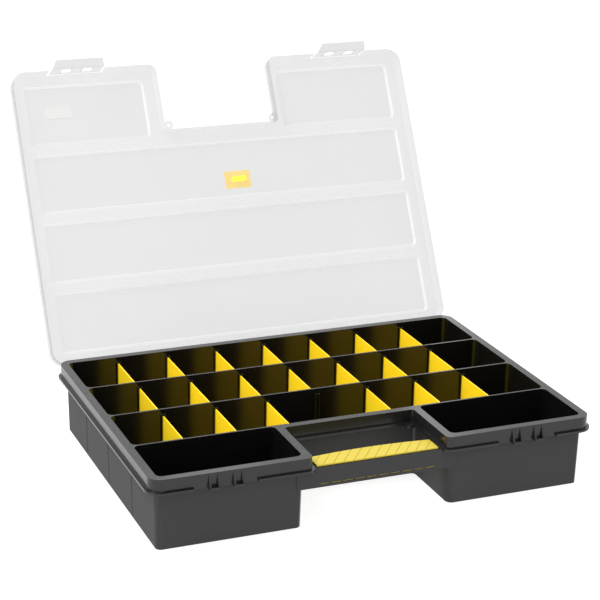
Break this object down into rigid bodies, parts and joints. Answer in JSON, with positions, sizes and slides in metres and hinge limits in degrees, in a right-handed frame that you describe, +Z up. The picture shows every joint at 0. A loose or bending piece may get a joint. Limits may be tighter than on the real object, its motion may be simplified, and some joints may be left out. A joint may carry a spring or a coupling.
{
  "type": "parts organizer",
  "caption": "Shallow portable parts organizer: compartment tray with lift-out dividers, carry handle in a front notch, and a clear hinged lid with snap latches.",
  "frame": {"origin": "centre of the tray's underside, midway between its left and right walls and midway between its front and back stop flanges", "axes": "+X to the right along the long side, +Y from the handle side to the hinge side, +Z up out of the compartments"},
  "size_m": [0.457, 0.4909, 0.3575],
  "materials": {
    "black_plastic": "glossy moulded black polypropylene",
    "clear_plastic": "frosted clear polypropylene",
    "divider_yellow": "satin yellow polypropylene",
    "grip_yellow": "soft yellow grip plastic",
    "badge_yellow": "satin yellow plastic",
    "label_white": "blank white label stock"
  },
  "bodies": {
    "tray": {"tray": "black_plastic", "handle_grip": "grip_yellow"},
    "lid": {"lid": "clear_plastic", "badge": "badge_yellow", "label": "label_white"},
    "latch_left": {"latch_left": "clear_plastic"},
    "latch_right": {"latch_right": "clear_plastic"},
    "divider_row1_1": {"divider_row1_1": "divider_yellow"},
    "divider_row1_2": {"divider_row1_2": "divider_yellow"},
    "divider_row1_3": {"divider_row1_3": "divider_yellow"},
    "divider_row1_4": {"divider_row1_4": "divider_yellow"},
    "divider_row1_5": {"divider_row1_5": "divider_yellow"},
    "divider_row1_6": {"divider_row1_6": "divider_yellow"},
    "divider_row1_7": {"divider_row1_7": "divider_yellow"},
    "divider_row2_1": {"divider_row2_1": "divider_yellow"},
    "divider_row2_2": {"divider_row2_2": "divider_yellow"},
    "divider_row2_3": {"divider_row2_3": "divider_yellow"},
    "divider_row2_4": {"divider_row2_4": "divider_yellow"},
    "divider_row2_5": {"divider_row2_5": "divider_yellow"},
    "divider_row2_6": {"divider_row2_6": "divider_yellow"},
    "divider_row2_7": {"divider_row2_7": "divider_yellow"},
    "divider_row3_1": {"divider_row3_1": "divider_yellow"},
    "divider_row3_2": {"divider_row3_2": "divider_yellow"},
    "divider_row3_3": {"divider_row3_3": "divider_yellow"},
    "divider_row3_5": {"divider_row3_5": "divider_yellow"},
    "divider_row3_6": {"divider_row3_6": "divider_yellow"},
    "divider_row3_7": {"divider_row3_7": "divider_yellow"}
  },
  "joints": [
    {"name": "lid_hinge", "type": "hinge", "parent": "tray", "child": "lid", "pos_m": [0, 0.1632, 0.061], "axis": [-1, 0, 0], "range_deg": [-118.6, 0]},
    {"name": "latch_left_flex", "type": "hinge", "parent": "lid", "child": "latch_left", "pos_m": [-0.1545, 0.32862, 0.33745], "axis": [-1, 0, 0], "range_deg": [0, 35], "stiffness_Nm_per_rad": 0.02},
    {"name": "latch_right_flex", "type": "hinge", "parent": "lid", "child": "latch_right", "pos_m": [0.1545, 0.32862, 0.33745], "axis": [-1, 0, 0], "range_deg": [0, 35], "stiffness_Nm_per_rad": 0.02},
    {"name": "divider_row1_1_lift", "type": "slide", "parent": "tray", "child": "divider_row1_1", "axis": [0, 0, 1], "range_m": [0, 0.075]},
    {"name": "divider_row1_2_lift", "type": "slide", "parent": "tray", "child": "divider_row1_2", "axis": [0, 0, 1], "range_m": [0, 0.075]},
    {"name": "divider_row1_3_lift", "type": "slide", "parent": "tray", "child": "divider_row1_3", "axis": [0, 0, 1], "range_m": [0, 0.075]},
    {"name": "divider_row1_4_lift", "type": "slide", "parent": "tray", "child": "divider_row1_4", "axis": [0, 0, 1], "range_m": [0, 0.075]},
    {"name": "divider_row1_5_lift", "type": "slide", "parent": "tray", "child": "divider_row1_5", "axis": [0, 0, 1], "range_m": [0, 0.075]},
    {"name": "divider_row1_6_lift", "type": "slide", "parent": "tray", "child": "divider_row1_6", "axis": [0, 0, 1], "range_m": [0, 0.075]},
    {"name": "divider_row1_7_lift", "type": "slide", "parent": "tray", "child": "divider_row1_7", "axis": [0, 0, 1], "range_m": [0, 0.075]},
    {"name": "divider_row2_1_lift", "type": "slide", "parent": "tray", "child": "divider_row2_1", "axis": [0, 0, 1], "range_m": [0, 0.075]},
    {"name": "divider_row2_2_lift", "type": "slide", "parent": "tray", "child": "divider_row2_2", "axis": [0, 0, 1], "range_m": [0, 0.075]},
    {"name": "divider_row2_3_lift", "type": "slide", "parent": "tray", "child": "divider_row2_3", "axis": [0, 0, 1], "range_m": [0, 0.075]},
    {"name": "divider_row2_4_lift", "type": "slide", "parent": "tray", "child": "divider_row2_4", "axis": [0, 0, 1], "range_m": [0, 0.075]},
    {"name": "divider_row2_5_lift", "type": "slide", "parent": "tray", "child": "divider_row2_5", "axis": [0, 0, 1], "range_m": [0, 0.075]},
    {"name": "divider_row2_6_lift", "type": "slide", "parent": "tray", "child": "divider_row2_6", "axis": [0, 0, 1], "range_m": [0, 0.075]},
    {"name": "divider_row2_7_lift", "type": "slide", "parent": "tray", "child": "divider_row2_7", "axis": [0, 0, 1], "range_m": [0, 0.075]},
    {"name": "divider_row3_1_lift", "type": "slide", "parent": "tray", "child": "divider_row3_1", "axis": [0, 0, 1], "range_m": [0, 0.075]},
    {"name": "divider_row3_2_lift", "type": "slide", "parent": "tray", "child": "divider_row3_2", "axis": [0, 0, 1], "range_m": [0, 0.075]},
    {"name": "divider_row3_3_lift", "type": "slide", "parent": "tray", "child": "divider_row3_3", "axis": [0, 0, 1], "range_m": [0, 0.075]},
    {"name": "divider_row3_5_lift", "type": "slide", "parent": "tray", "child": "divider_row3_5", "axis": [0, 0, 1], "range_m": [0, 0.075]},
    {"name": "divider_row3_6_lift", "type": "slide", "parent": "tray", "child": "divider_row3_6", "axis": [0, 0, 1], "range_m": [0, 0.075]},
    {"name": "divider_row3_7_lift", "type": "slide", "parent": "tray", "child": "divider_row3_7", "axis": [0, 0, 1], "range_m": [0, 0.075]}
  ]
}
